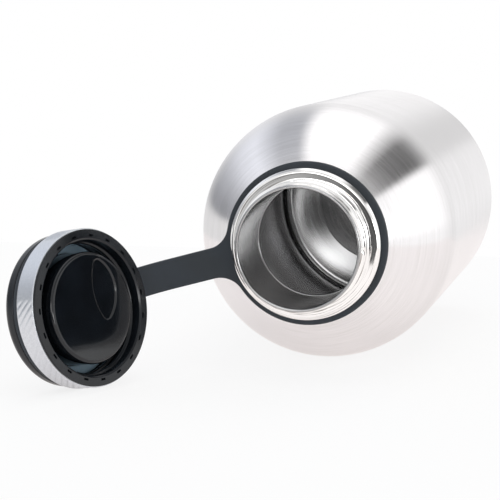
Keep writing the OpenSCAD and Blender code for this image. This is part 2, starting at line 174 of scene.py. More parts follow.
# A section turned round the axis of a place: point = origin + r (cos a, sin a) + h axis, where out and lift
# are added to r and h. The map holds the turn as a share and the length along the section in metres.
# A section that starts and ends on the axis is closed by two fans, and any other is a closed loop
def lathe(name, section, place, angles, out=0.0, lift=0.0):
    origin, first, second, axis = place
    radius = section[:, :1] + out
    height = section[:, 1:] + lift
    radius, height = np.broadcast_arrays(radius + 0 * angles, height + 0 * angles)
    points = origin + radius[..., None] * (np.cos(angles)[:, None] * first + np.sin(angles)[:, None] * second)
    points = points + height[..., None] * axis
    onAxis = section[0, 0] < nearly
    rows, columns = points.shape[:2]
    steps = np.linalg.norm(np.diff(np.vstack([section, section[:1]]), axis=0), axis=1)
    along = np.concatenate([[0], np.cumsum(steps)]) * metre
    turn = np.append(angles - angles[0], 2 * math.pi) / (2 * math.pi)
    i = np.arange(rows - 1 if onAxis else rows)[:, None]
    j = np.arange(columns)[None]
    after = (j + 1) % columns
    low, high = i * columns, ((i + 1) % rows) * columns
    quads = np.stack([low + j, low + after, high + after, high + j], axis=-1)
    corner = [np.stack([turn[b] + 0 * along[a], along[a] + 0 * turn[b]], axis=-1)
              for a, b in ((i, j), (i, j + 1), (i + 1, j + 1), (i + 1, j))]
    quadMap = np.stack(corner, axis=2)
    if not onAxis:
        return putMesh(name, points.reshape(-1, 3), [quads.reshape(-1, 4)], [quadMap.reshape(-1, 4, 2)])
    # The rows on the axis become one point each
    quads, quadMap = quads[1:-1] - columns, quadMap[1:-1]
    inner = points[1:-1].reshape(-1, 3)
    verts = np.concatenate([inner, points[0, :1], points[-1, :1]])
    ring = j[0]
    ringNext = after[0]
    lastRow = (rows - 3) * columns
    tip = np.full(columns, len(inner))
    fans = np.concatenate([np.stack([tip, ringNext, ring], axis=1),
                           np.stack([tip + 1, lastRow + ring, lastRow + ringNext], axis=1)])

    def onMap(share, row):
        return np.stack([share, 0 * share + along[row]], axis=1)

    begin, finish = turn[:-1], turn[1:]
    middle = (begin + finish) / 2
    fanMap = np.concatenate([
        np.stack([onMap(middle, 0), onMap(finish, 1), onMap(begin, 1)], axis=1),
        np.stack([onMap(middle, rows - 1), onMap(begin, rows - 2), onMap(finish, rows - 2)], axis=1),
    ])
    return putMesh(name, verts, [quads.reshape(-1, 4), fans], [quadMap.reshape(-1, 4, 2), fanMap])


def fullTurn(count):
    return np.arange(count) * 2 * math.pi / count


def finishPiece(piece, body, slot, material, *nodes):
    piece.data.materials.append(material)
    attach(piece, body)
    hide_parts(*nodes)
    print(piece.name, len(piece.data.polygons), "faces")
    return piece


# Materials

noiseLow, noiseHigh = 0.3, 0.7  # most of a noise lies between these


# From an sRGB hex value to linear light
def linear(hexColour):
    srgb = np.array([int(hexColour[k:k + 2], 16) for k in (0, 2, 4)]) / 255
    low = srgb / 12.92
    high = ((srgb + 0.055) / 1.055) ** 2.4
    return (*np.where(srgb <= 0.04045, low, high), 1.0)


# One node with its settings. An input is a number or colour, or the socket that is linked to it,
# and the stops of a colour ramp are shares with their colours
def addNode(tree, kind, inputs=None, stops=(), **settings):
    node = tree.nodes.new(kind)
    for key, value in settings.items():
        setattr(node, key, value)
    for key, value in (inputs or {}).items():
        if isinstance(value, bpy.types.NodeSocket):
            tree.links.new(value, node.inputs[key])
        else:
            node.inputs[key].default_value = value
    if stops:
        elements = node.color_ramp.elements
        while len(elements) < len(stops):
            elements.new(1.0)
        for element, (share, colour) in zip(elements, stops):
            element.position = share
            element.color = colour
    return node


def newMaterial(name, **shaderInputs):
    material = bpy.data.materials.new(name)
    material.use_nodes = True
    tree = material.node_tree
    shader = tree.nodes["Principled BSDF"]
    for key, value in shaderInputs.items():
        shader.inputs[key].default_value = value
    return material, tree, shader


def linkSkin(tree, shader, colour, rough, bump):
    for socket, node in (("Base Color", colour), ("Roughness", rough), ("Normal", bump)):
        tree.links.new(node.outputs[0], shader.inputs[socket])


# Lines that run round the axis: a noise that is fine along the section and slow round the turn.
# lineWidth and runLength are the millimetres that one line is wide and long
def turnedLines(tree, lineWidth, runLength, detail=3.0):
    spot = addNode(tree, "ShaderNodeTexCoord")
    world = addNode(tree, "ShaderNodeSeparateXYZ", {0: spot.outputs["Object"]})
    along = addNode(tree, "ShaderNodeSeparateXYZ", {0: spot.outputs["UV"]})
    sizes = (
        (world.outputs["X"], runLength),
        (along.outputs["Y"], lineWidth),
        (world.outputs["Z"], runLength),
    )
    vector = addNode(tree, "ShaderNodeCombineXYZ")
    for k, (socket, size) in enumerate(sizes):
        scaled = addNode(tree, "ShaderNodeMath", {0: socket, 1: 1 / (size * metre)}, operation="MULTIPLY")
        tree.links.new(scaled.outputs[0], vector.inputs[k])
    return addNode(tree, "ShaderNodeTexNoise",
                   {"Vector": vector.outputs[0], "Scale": 1.0, "Detail": detail, "Roughness": 0.6})


# A noise of grains, each about size millimetres across
def grain(tree, size):
    spot = addNode(tree, "ShaderNodeTexCoord")
    return addNode(tree, "ShaderNodeTexNoise",
                   {"Vector": spot.outputs["Object"], "Scale": 1 / (size * metre), "Detail": 2.0})


# Stainless steel 18/8, spun and then brushed on a lathe: fine rings that stretch every light
# along the section
def brushedSteel():
    material, tree, shader = newMaterial("steelBrushed", Metallic=1.0, Anisotropic=0.93)
    shader.inputs["Anisotropic Rotation"].default_value = 0.25
    lines = turnedLines(tree, lineWidth=0.5, runLength=24)  # the real scratches are 0.1 mm, too fine to show
    broad = turnedLines(tree, lineWidth=3.5, runLength=40, detail=1.0)
    broadShare = 0.2
    both = addNode(tree, "ShaderNodeMix", {0: broadShare, 2: lines.outputs["Fac"], 3: broad.outputs["Fac"]},
                   data_type="FLOAT")
    colour = addNode(tree, "ShaderNodeValToRGB", {0: both.outputs[0]},
                     stops=[(0.36, linear("E6E4E4")), (0.5, linear("ECEAEB")), (0.64, linear("F1EFF0"))])
    rough = addNode(tree, "ShaderNodeMapRange",
                    {0: lines.outputs["Fac"], 1: noiseLow, 2: noiseHigh, 3: 0.2, 4: 0.26})
    bump = addNode(tree, "ShaderNodeBump",
                   {"Height": lines.outputs["Fac"], "Strength": 0.5, "Distance": 0.008 * metre})
    tangent = addNode(tree, "ShaderNodeTangent", direction_type="RADIAL", axis="Y")
    tree.links.new(tangent.outputs[0], shader.inputs["Tangent"])
    linkSkin(tree, shader, colour, rough, bump)
    return material


# The same steel with lines round its axis, which set its colour, its gloss and its relief.
# Real lines are about 0.02 mm wide, and these are drawn wider to show
def turnedSteel(name, lineWidth, stops, roughLow, roughHigh):
    material, tree, shader = newMaterial(name, Metallic=1.0)
    lines = turnedLines(tree, lineWidth, runLength=30)
    colour = addNode(tree, "ShaderNodeValToRGB", {0: lines.outputs["Fac"]},
                     stops=[(share, linear(tone)) for share, tone in stops])
    rough = addNode(tree, "ShaderNodeMapRange",
                    {0: lines.outputs["Fac"], 1: noiseLow, 2: noiseHigh, 3: roughLow, 4: roughHigh})
    bump = addNode(tree, "ShaderNodeBump",
                   {"Height": lines.outputs["Fac"], "Strength": 0.4, "Distance": 0.006 * metre})
    linkSkin(tree, shader, colour, rough, bump)
    return material


# Steel band, rolled with its serrations and bead blasted: pale and cool, with blurred reflections
def bandSteel():
    material, tree, shader = newMaterial("steelBlasted", Metallic=1.0)
    pits = grain(tree, 0.5)  # blasting pits are 0.05 mm, drawn larger
    colour = addNode(tree, "ShaderNodeValToRGB", {0: pits.outputs["Fac"]},
                     stops=[(0.35, linear("CDD1D6")), (0.65, linear("DEE1E6"))])
    rough = addNode(tree, "ShaderNodeMapRange",
                    {0: pits.outputs["Fac"], 1: noiseLow, 2: noiseHigh, 3: 0.28, 4: 0.38})
    bump = addNode(tree, "ShaderNodeBump",
                   {"Height": pits.outputs["Fac"], "Strength": 0.5, "Distance": 0.02 * metre})
    linkSkin(tree, shader, colour, rough, bump)
    return material


# A moulded plastic or rubber: a colour that varies a little, a skin of fine grain and wider wear
# in its gloss. Grains below a millimetre are drawn coarser than real ones, which would not show
def moulded(name, dark, light, roughness, grainSize, grainDepth, **shaderInputs):
    wearSize = 14
    glossiest, dullest = roughness * 0.9, roughness * 1.15
    material, tree, shader = newMaterial(name, **shaderInputs)
    fine = grain(tree, grainSize)
    wear = grain(tree, wearSize)
    colour = addNode(tree, "ShaderNodeValToRGB", {0: wear.outputs["Fac"]},
                     stops=[(0.35, linear(dark)), (0.65, linear(light))])
    rough = addNode(tree, "ShaderNodeMapRange",
                    {0: wear.outputs["Fac"], 1: 0.35, 2: 0.65, 3: glossiest, 4: dullest})
    bump = addNode(tree, "ShaderNodeBump",
                   {"Height": fine.outputs["Fac"], "Strength": 0.6, "Distance": grainDepth * metre})
    linkSkin(tree, shader, colour, rough, bump)
    return material


steelBrushed = brushedSteel()
# Buffed to a mirror: sharp reflections, with the rings that the buffing wheel leaves. The rings' tones are
# painted reflection: the dark rings are painted dark reflections and the near-white rings are painted white
# shine
steelPolishedPaintedReflection = turnedSteel("steelPolishedPaintedReflection", lineWidth=0.35, stops=[(0.32, "857F79"), (0.46, "F8F7F6")],
                            roughLow=0.03, roughHigh=0.08)
# Drawn and electropolished: a soft mirror with faint rings, whose dark tone is painted shade for the deep
# inside of the vessel
steelInsideShaded = turnedSteel("steelElectropolishedShaded", lineWidth=1.2, stops=[(0.35, "AAAAAA"), (0.65, "B4B4B5")],
                          roughLow=0.14, roughHigh=0.18)
# The same liner steel, a little duller, whose brighter tone is painted light where light falls into the neck
# through the mouth
steelNeckLit = turnedSteel("steelNeckPaintedLight", lineWidth=1.2, stops=[(0.35, "F0F0F0"), (0.65, "F6F6F6")],
                        roughLow=0.18, roughHigh=0.24)
steelBand = bandSteel()
# Polypropylene from a spark-eroded mould, a fine satin
capPlastic = moulded("polypropyleneSatin", "121519", "181C21",
                     roughness=0.17, grainSize=0.4, grainDepth=0.01, IOR=1.4)
# Polypropylene from a polished mould, which mirrors the room faintly
plugPlastic = moulded("polypropyleneGloss", "0D1014", "13171C",
                      roughness=0.05, grainSize=6, grainDepth=0.01, IOR=1.49)
# Silicone from a blasted mould, matte, dark and a little bluish
strapSilicone = moulded("siliconeMatte", "2F3439", "373C42",
                        roughness=0.7, grainSize=0.5, grainDepth=0.02, IOR=1.41)
# Grey silicone from a smoother mould, with a dull shine
gasketSilicone = moulded("siliconeGrey", "7C93A2", "889FAE",
                         roughness=0.45, grainSize=0.5, grainDepth=0.01, IOR=1.41)
# Rolled copper foil with the creases of its wrapping
copperFoil = moulded("copperRolled", "B8734F", "C98A63",
                     roughness=0.25, grainSize=9, grainDepth=0.3, Metallic=1.0)
# Pressed metal powder, dull and gritty
getterPowder = moulded("powderPressed", "4A4A4C", "5A5A5C",
                       roughness=0.8, grainSize=0.3, grainDepth=0.05)
# Closed-cell polyethylene foam, cream with fine cells
plugFoam = moulded("foamClosedCell", "E0D8C4", "EDE6D5", roughness=0.85, grainSize=0.6, grainDepth=0.1)
# Fused glass bead, dark and wet looking
sealGlass = moulded("glassFused", "3A4444", "465252",
                    roughness=0.12, grainSize=2, grainDepth=0.02, IOR=1.52)
print("materials made")

# Outer shell

shell = {
    "wall": 0.8,
    "turnSteps": 288,
    "domeSteps": 72,
    "tubeSteps": 16,
}


# A half ball that runs into a straight tube, with a wall of even thickness: r = R sin a, h = centre - R cos a
def makeShell(s):
    tube = measure("body_tube", bottlePlace)
    dome = measure("shoulder_dome", bottlePlace)
    radius, inner = tube["outer"], tube["outer"] - s["wall"]
    holeRadius = math.sqrt(radius ** 2 - (tube["low"] - dome["low"]) ** 2)
    middle = [0, tube["low"]]
    outerHole = math.degrees(math.asin(holeRadius / radius))
    innerHole = math.degrees(math.asin(holeRadius / inner))
    section = np.concatenate([
        arc(middle, radius, outerHole - 90, 0, s["domeSteps"]),
        line([radius, tube["low"]], [radius, tube["high"]], s["tubeSteps"])[1:],
        line([inner, tube["high"]], [inner, tube["low"]], 4),
        arc(middle, inner, 0, innerHole - 90, s["domeSteps"] // 2)[1:],
    ])
    piece = lathe("shell", section, bottlePlace, fullTurn(s["turnSteps"]))
    return finishPiece(piece, "bottle", "brushed_steel", steelBrushed, "shoulder_dome", "body_tube")


makeShell(shell)

# Base

base = {
    "wall": 0.8,
    "edge": 4,
    "footWidth": 6,
    "recess": 2.5,
    "softEdge": 1.2,
    "turnSteps": 192,
}


# A pressed pan: the recess slopes up to a flat foot ring, which rolls over into the wall
def makeBase(s):
    plate = measure("base_plate", bottlePlace)
    radius, foot, top = plate["outer"], plate["high"], plate["low"]
    pan = foot - s["recess"]
    recessRadius = radius - s["edge"] - s["footWidth"]
    w = s["wall"]
    section = outline([
        (0, pan, 0),
        (recessRadius - s["recess"], pan, s["softEdge"] + w),
        (recessRadius, foot, s["softEdge"]),
        (radius, foot, s["edge"]),
        (radius, top, 0),
        (radius - w, top, 0),
        (radius - w, foot - w, s["edge"] - w),
        (recessRadius + w / 2, foot - w, s["softEdge"] - w / 2),
        (recessRadius - s["recess"] + w / 2, pan - w, s["softEdge"]),
        (0, pan - w, 0),
    ], closed=False)
    piece = lathe("basePan", section, bottlePlace, fullTurn(s["turnSteps"]))
    return finishPiece(piece, "bottle", "brushed_steel", steelBrushed, "base_plate")


makeBase(base)

# Neck

# The neck and the cap share this thread
thread = {"pitch": 5, "turns": 1.75, "height": 1.4, "width": 3}
neck = {
    "lipWidth": 1.5,
    "wall": 0.8,
    "fillet": 2,
    "beadTop": 16,
    "beadHeight": 4.5,
    "seatStep": 1.8,
    "threadFlank": 0.7,
    "threadStart": 2,
    "threadTurn": 0.74,
    "runOut": 0.02,
    "turnSteps": 320,
    "wallSteps": 100,
    "filletRows": 14,
    "beadRows": 32,
}


# Height of a rolled thread: a ridge with a flat crest between two flanks, whose middle moves down the wall by
# one pitch a turn, and which fades at its ends
def threadRidge(height, turn, start, flank, runOut):
    half = thread["width"] / 2
    ridge = np.zeros(np.broadcast(height, turn).shape)
    for lap in range(math.ceil(thread["turns"]) + 1):
        t = turn + lap
        off = np.abs(height - start - half - thread["pitch"] * t)
        bump = smooth(half, half - flank, off)
        fade = smooth(0, runOut, t) * smooth(0, runOut, thread["turns"] - t)
        ridge = np.maximum(ridge, bump * fade)
    return thread["height"] * ridge


# Thread wall, hollow fillet, round bead and seat, with the sheet's wall behind them
def makeNeck(s):
    ring = measure("neck_ring", bottlePlace)
    lip = measure("liner_top", bottlePlace)
    root = lip["inner"] + s["lipWidth"]
    half = s["beadHeight"] / 2
    beadMiddle = [ring["outer"] - half, s["beadTop"] + half]
    seat = ring["outer"] - s["seatStep"]
    seatDeg = math.degrees(math.acos((seat - beadMiddle[0]) / half))
    w = s["wall"]
    straight = line([root, ring["low"]], [root, s["beadTop"] - s["fillet"]], s["wallSteps"])
    section = np.concatenate([
        straight,
        arc([root + s["fillet"], s["beadTop"] - s["fillet"]], s["fillet"], 180, 90, s["filletRows"])[1:],
        arc(beadMiddle, half, -90, seatDeg, s["beadRows"]),
        line([seat, beadMiddle[1] + half], [seat, ring["high"]], 8),
        line([seat - w, ring["high"]], [seat - w, s["beadTop"] + s["beadHeight"]], 3),
        line([root - w, s["beadTop"]], [root - w, ring["low"]], 4),
    ])
    angles = fullTurn(s["turnSteps"])
    turn = (angles / (2 * math.pi) - s["threadTurn"]) % 1
    ridge = threadRidge(section[:, 1:], turn, s["threadStart"], s["threadFlank"], s["runOut"])
    out = ridge * (np.arange(len(section)) < len(straight))[:, None]
    piece = lathe("neckRing", section, bottlePlace, angles, out=out)
    return finishPiece(piece, "bottle", "polished_steel", steelPolishedPaintedReflection, "neck_ring")


makeNeck(neck)

# Inner vessel

vessel = {
    "sheet": 0.6,
    "lipHeight": 1.8,
    "neckEdge": 1,
    "neckSeam": 0.22,
    "seamRoom": 2.1,
    "lipGap": 0.1,
    "backGap": 0.2,
    "hubRadius": 2,
    "discRadius": 37.5,
    "discRim": 0.5,
    "dishDeg": (9.4, 18),
    "crownRadius": 9.2,
    "hem": 0.8,
    "groove": 0.85,
    "grooveEdge": 0.4,
    "underEdge": 0.8,
    "seam": 0.25,
    "turnSteps": 256,
    "lipRows": 16,
    "neckRows": 24,
    "seamRows": 9,
    "edgeRows": 8,
    "ballRows": 40,
    "backRows": 24,
    "dishRows": 32,
    "crownRows": 16,
    "hemRows": 10,
}


# Rolled lip, straight neck that ends in a fine weld bead, a soft edge and the inside of a half ball
def makeVesselTop(s):
    top = measure("liner_top", bottlePlace)
    mouth, outer, end = top["inner"], top["outer"], top["high"]
    inner = outer - s["sheet"]
    lip = neck["lipWidth"] / 2
    outHoleDeg = math.degrees(math.asin((mouth + s["sheet"]) / outer))
    edge = s["neckEdge"]
    # the edge between neck and half ball is an arc that touches both
    edgeCentreR = mouth + edge
    edgeCentreH = end - math.sqrt((inner + edge) ** 2 - edgeCentreR ** 2)
    touchDeg = math.degrees(math.atan2(end - edgeCentreH, -edgeCentreR))
    seam = s["neckSeam"]
    beforeNeck = np.concatenate([
        [[mouth + neck["lipWidth"], s["lipHeight"]]],
        arc([mouth + lip, lip], lip, 0, -180, s["lipRows"]),
    ])
    neckEnd = edgeCentreH - s["seamRoom"] * seam
    straight = line([mouth, lip + s["lipGap"]], [mouth, neckEnd], s["neckRows"])
    section = np.concatenate([
        beforeNeck,
        straight,
        arc([mouth, edgeCentreH - seam], seam, 270, 90, s["seamRows"]),
        arc([edgeCentreR, edgeCentreH], edge, 180, touchDeg, s["edgeRows"])[1:],
        arc([0, end], inner, touchDeg - 180, 0, s["ballRows"])[1:],
        arc([0, end], outer, 0, outHoleDeg - 90, s["backRows"]),
        line([mouth + s["sheet"], end - outer * math.cos(math.radians(outHoleDeg)) - s["backGap"]],
             [mouth + s["sheet"], s["lipHeight"]], 4),
    ])
    piece = lathe("vesselTop", section, bottlePlace, fullTurn(s["turnSteps"]))
    finishPiece(piece, "bottle", "liner_steel", steelInsideShaded, "liner_top")
    # the straight neck gets the lit copy of the liner steel, with painted light in its brighter colour
    piece.data.materials.append(steelNeckLit)
    row = np.arange(len(section)) - len(beforeNeck)
    inNeck = (row >= 0) & (row < len(straight))
    piece.data.polygons.foreach_set("material_index", np.repeat(inNeck, s["turnSteps"]).astype(np.int32))
    return piece


# A straight tube, whose inner edge is rounded where the bottom joins it
def makeVesselWall(s):
    wall = measure("liner_wall", bottlePlace)
    inner, outer = wall["outer"] - s["sheet"], wall["outer"]
    section = outline([
        (inner, wall["low"], 0), (inner, wall["high"], s["seam"]),
        (outer, wall["high"], 0), (outer, wall["low"], 0),
    ])
    piece = lathe("vesselWall", section, bottlePlace, fullTurn(s["turnSteps"]))
    return finishPiece(piece, "bottle", "liner_steel", steelInsideShaded, "liner_wall")


# A flat disc, a dish whose slope grows with the square of the way out, a crown that levels it,
# a hem and a groove by the wall
def makeVesselBottom(s):
    bottom = measure("liner_bottom", bottlePlace)
    outer, under = bottom["outer"], bottom["high"]
    inner, floor = outer - s["sheet"], under - s["sheet"]
    crown, hem = s["crownRadius"], s["hem"]
    startDeg, endDeg = s["dishDeg"]
    flank = inner - s["groove"]
    crest = flank - hem
    dishEdge = crest - crown * math.sin(math.radians(endDeg))
    start, end = math.tan(math.radians(startDeg)), math.tan(math.radians(endDeg))
    span = dishEdge - s["discRadius"]
    share = np.linspace(0, 1, s["dishRows"])
    climb = span * (start * share + (end - start) * share ** 3 / 3)
    dish = np.stack([s["discRadius"] + span * share, floor - climb], axis=1)
    crownBase = floor - climb[-1] + crown * math.cos(math.radians(endDeg))
    hemBase = crownBase - crown + hem
    inside = np.concatenate([
        [[0, floor]],
        line([s["hubRadius"], floor], [s["discRadius"] - s["discRim"], floor], 4),
        dish,
        arc([crest, crownBase], crown, -90 - endDeg, -90, s["crownRows"])[1:],
        arc([crest, hemBase], hem, -90, 0, s["hemRows"])[1:],
        outline([
            (flank, hemBase, 0), (flank, floor, s["grooveEdge"]), (inner, floor, s["grooveEdge"]),
            (inner, bottom["low"], s["seam"]), (outer, bottom["low"], 0), (outer, under, s["underEdge"]),
            (dishEdge, under, 0),
        ], closed=False)[1:],
        dish[::-4] + [0, s["sheet"]],
        [[0, under]],
    ])
    piece = lathe("vesselBottom", inside, bottlePlace, fullTurn(s["turnSteps"]))
    return finishPiece(piece, "bottle", "liner_steel", steelInsideShaded, "liner_bottom")


makeVesselTop(vessel)
makeVesselWall(vessel)
makeVesselBottom(vessel)

# Cap

cap = {
    "rimHeight": 1,
    "wallRadius": 35,
    "bandTop": 11.3,
    "grooveRadius": 32.5,
    "insideRadius": 31.2,
    "gapDepth": 16.5,
    "leadWidth": 0.8,
    "leadHeight": 0.6,
    "softEdge": 0.3,
    "pockets": 19,
    "pocketAcross": 0.9,
    "pocketAlong": 2.6,
    "pocketDepth": 1.6,
    "pocketIn": 1.9,
    "pocketTurnDeg": 10.5,
    "pocketWall": 0.06,
    "pocketColumns": 13,
    "wallRows": 90,
    "hubRadius": 5,
    "cornerGap": 0.3,
    "threadFlank": 1.1,
    "threadStart": 2,
    "threadTurn": 0.1,
    "runOut": 0.1,
}


# Rim with a bevel that leads in and a row of pockets, a wall with the inside thread, and the deck
# over the plug
def makeSkirt(s):
    skirt = measure("cap_skirt", capPlace)
    rim, deck = skirt["outer"], skirt["high"]
    inside = s["insideRadius"]
    e = s["softEdge"]
    middle = inside + s["pocketIn"]
    halfAcross, wallGap = s["pocketAcross"] / 2, s["pocketWall"]
    # rows of the rim's face close to the edges of the pockets
    nearPocket = middle + np.array([-halfAcross - wallGap, -halfAcross, 0, halfAcross, halfAcross + wallGap])
    outside = outline([
        (inside, s["leadHeight"], 0), (inside + s["leadWidth"], 0, 0), *[(r, 0, 0) for r in nearPocket],
        (rim, 0, e), (rim, s["rimHeight"], e), (s["wallRadius"], s["rimHeight"], 0),
        (s["wallRadius"], s["bandTop"], 0), (s["grooveRadius"], s["bandTop"], 0),
        (s["grooveRadius"], deck, 0), (0, deck, 0),
    ], closed=False)
    gap = s["cornerGap"]
    wall = line([inside, s["leadHeight"] + wallGap], [inside, s["gapDepth"] - gap], s["wallRows"])
    section = np.concatenate([
        [[0, s["gapDepth"]]],
        line([s["hubRadius"], s["gapDepth"]], [inside - gap, s["gapDepth"]], 6),
        wall[::-1],
        outside,
    ])
    # each pocket takes its share of the turn, with columns close to its edges
    halfDeg = math.degrees(0.5 * s["pocketAlong"] / middle)
    gapDeg = math.degrees(wallGap / middle)
    pitchDeg = 360 / s["pockets"]
    between = np.linspace(halfDeg + gapDeg, pitchDeg - halfDeg - gapDeg, s["pocketColumns"])[1:-1]
    local = np.concatenate([[-halfDeg - gapDeg, -halfDeg, 0, halfDeg, halfDeg + gapDeg], between])
    deg = (np.arange(s["pockets"])[:, None] * pitchDeg + s["pocketTurnDeg"] + local[None]).ravel()
    angles = np.radians(deg)
    inPocket = np.tile(np.abs(local) <= halfDeg + nearly, s["pockets"])
    row = np.abs(section[:, 0] - middle) <= halfAcross + nearly
    onFace = row & (section[:, 1] == 0)
    lift = s["pocketDepth"] * (onFace[:, None] & inPocket[None])
    turn = (s["threadTurn"] - angles / (2 * math.pi)) % 1
    ridge = threadRidge(section[:, 1:], turn, s["threadStart"], s["threadFlank"], s["runOut"])
    onWall = np.abs(section[:, 0] - inside) < nearly
    out = -ridge * onWall[:, None]
    piece = lathe("capSkirt", section, capPlace, angles, out=out, lift=lift)
    return finishPiece(piece, "cap", "cap_plastic", capPlastic, "cap_skirt")


makeSkirt(cap)

band = {
    "thickness": 1.5,
    "edge": 0.25,
    "serrations": 60,
    "depth": 0.38,
    "slantDeg": -45,
    "endFade": 1.2,
    "padDeg": 50,
    "padTurnDeg": 45,
    "padFadeDeg": 4,
    "pointsPerSerration": 14,
    "rows": 26,
    "edgeRows": 4,
}


# Slanted flutes round a ring: the radius falls by depth times a rounded saw, which fades at the ring's
# edges and on the plain pad
def makeBand(s):
    ring = measure("cap_band", capPlace)
    outer, low, high = ring["outer"], ring["low"], ring["high"]
    inner = outer - s["thickness"]
    e = s["edge"]
    face = line([outer, low + e], [outer, high - e], s["rows"])
    section = np.concatenate([
        arc([outer - e, low + e], e, -90, 0, s["edgeRows"])[:-1],
        face,
        arc([outer - e, high - e], e, 0, 90, s["edgeRows"])[1:],
        [[inner, high], [inner, low]],
    ])
    angles = fullTurn(s["serrations"] * s["pointsPerSerration"])
    slant = (section[:, 1:] - low) * math.tan(math.radians(s["slantDeg"])) / outer
    phase = (angles - slant) * s["serrations"] / (2 * math.pi) % 1
    flute = np.abs(np.sin(math.pi * phase))
    offDeg = np.abs((np.degrees(angles) - s["padTurnDeg"] + 180) % 360 - 180)
    grip = smooth(0, s["padFadeDeg"], offDeg - s["padDeg"] / 2)
    grip = grip * smooth(0, s["endFade"], np.minimum(section[:, 1:] - low, high - section[:, 1:]))
    onFace = (section[:, 0] > outer - e - nearly)[:, None]
    out = -s["depth"] * (1 - flute) * grip * onFace
    piece = lathe("gripBand", section, capPlace, angles, out=out)
    return finishPiece(piece, "cap", "band_steel", steelBand, "cap_band")


makeBand(band)

plug = {
    "wall": 1.6,
    "edge": 1.8,
    "edgeGap": 0.1,
    "dish": 1.0,
    "pocketDepth": 0.5,
    "pocketLength": 30.5,
    "pocketMargin": 0.7,
    "pocketOff": 8.2,
    "pocketIn": 4.5,
    "pocketOut": 9.5,
    "pocketRound": 3,
    "pocketSlope": 0.5,
    "turnSteps": 400,
    "faceRows": 120,
    "edgeRows": 10,
}


# Radius of an arc that rises by a height over the middle of a chord
def arcRadius(halfChord, rise):
    return (halfChord ** 2 + rise ** 2) / (2 * rise)


# A closed cup: a hollow face, which rises by dish (1 - (r / R) squared), and a finger pocket sunk into it,
# a leaf where two discs overlap, with rounded tips
def makePlug(s):
    cup = measure("cap_plug", capPlace)
    radius, high = cup["outer"], cup["high"]
    w, e = s["wall"], s["edge"]
    faceRadius = radius - e
    inside = s["dish"] + w
    face = line([0, 0], [faceRadius, 0], s["faceRows"])
    section = np.concatenate([
        face,
        arc([faceRadius, e], e, -90, 0, s["edgeRows"])[1:],
        line([radius, e + s["edgeGap"]], [radius, high], 6),
        line([radius - w, high], [radius - w, inside], 4),
        [[0, inside]],
    ])
    angles = fullTurn(s["turnSteps"])
    half = s["pocketLength"] / 2
    tip = math.sqrt((faceRadius - s["pocketMargin"]) ** 2 - s["pocketOff"] ** 2)
    x = section[:, :1] * np.cos(angles) + s["pocketOff"]
    y = section[:, :1] * np.sin(angles) - tip + half
    inRadius, outRadius = arcRadius(half, s["pocketIn"]), arcRadius(half, s["pocketOut"])
    soft = s["pocketRound"]
    inAway = np.hypot(x - s["pocketIn"] + inRadius, y) - inRadius + soft
    outAway = np.hypot(x + s["pocketOut"] - outRadius, y) - outRadius + soft
    corner = np.hypot(np.maximum(inAway, 0), np.maximum(outAway, 0))
    away = corner + np.minimum(np.maximum(inAway, outAway), 0) - soft
    onFace = (np.arange(len(section)) < len(face))[:, None]
    hollow = s["dish"] * (1 - (section[:, :1] / faceRadius) ** 2)
    lift = hollow + s["pocketDepth"] * smooth(s["pocketSlope"] / 2, -s["pocketSlope"] / 2, away)
    piece = lathe("plugCup", section, capPlace, angles, lift=lift * onFace)
    return finishPiece(piece, "cap", "plug_plastic", plugPlastic, "cap_plug")


makePlug(plug)

gasket = {"edge": 0.5, "turnSteps": 160}


# A flat ring with soft edges
def makeGasket(s):
    ring = measure("cap_gasket", capPlace)
    e = s["edge"]
    section = outline([(ring["inner"], ring["low"], e), (ring["outer"], ring["low"], e),
                       (ring["outer"], ring["high"], 0), (ring["inner"], ring["high"], 0)])
    piece = lathe("gasketRing", section, capPlace, fullTurn(s["turnSteps"]))
    return finishPiece(piece, "cap", "gasket_silicone", gasketSilicone, "cap_gasket")


makeGasket(gasket)

cover = {
    "edge": 4,
    "lowEdge": 0.6,
    "dish": 0.6,
    "border": 7,
    "softEdge": 0.5,
    "deckRadius": 32.5,
    "deckHeight": 18.3,
    "turnSteps": 192,
}


# A cover with a rolled edge and a shallow dish in its face
def makeCover(s):
    lid = measure("cap_top", capPlace)
    radius, low, high = lid["outer"], lid["low"], lid["high"]
    dishRadius = radius - s["border"]
    section = outline([
        (0, s["deckHeight"], 0), (s["deckRadius"], s["deckHeight"], 0), (s["deckRadius"], low, 0),
        (radius, low, s["lowEdge"]), (radius, high, s["edge"]), (dishRadius, high, s["softEdge"]),
        (dishRadius - s["dish"], high - s["dish"], s["softEdge"]), (0, high - s["dish"], 0),
    ], closed=False, steps=10)
    piece = lathe("capCover", section, capPlace, fullTurn(s["turnSteps"]))
    return finishPiece(piece, "cap", "cap_plastic", capPlastic, "cap_top")


makeCover(cover)

# Strap

strap = {
    "armWidth": 14.5,
    "armShift": 1.7,
    "collarInner": 34.5,
    "collarOuter": 38.8,
    "collarFlare": 12,
    "loopInner": 32.8,
    "loopOuter": 35.4,
    "loopFlare": 5,
    "bendRadius": 21.2,
    "bendDeg": 64.5,
    "twistDeg": -4.2,
    "edge": 0.7,
    "joinDistance": 0.002,
    "ringRows": 72,
    "flareRows": 14,
    "armRows": 48,
    "flatColumns": 8,
    "edgeColumns": 7,
}


# Where a fillet ends, between a ring and an edge of the arm that passes the ring's centre at offset
def flareEnd(outer, flare, offset):
    return math.sqrt((outer + flare) ** 2 - (offset + flare) ** 2)


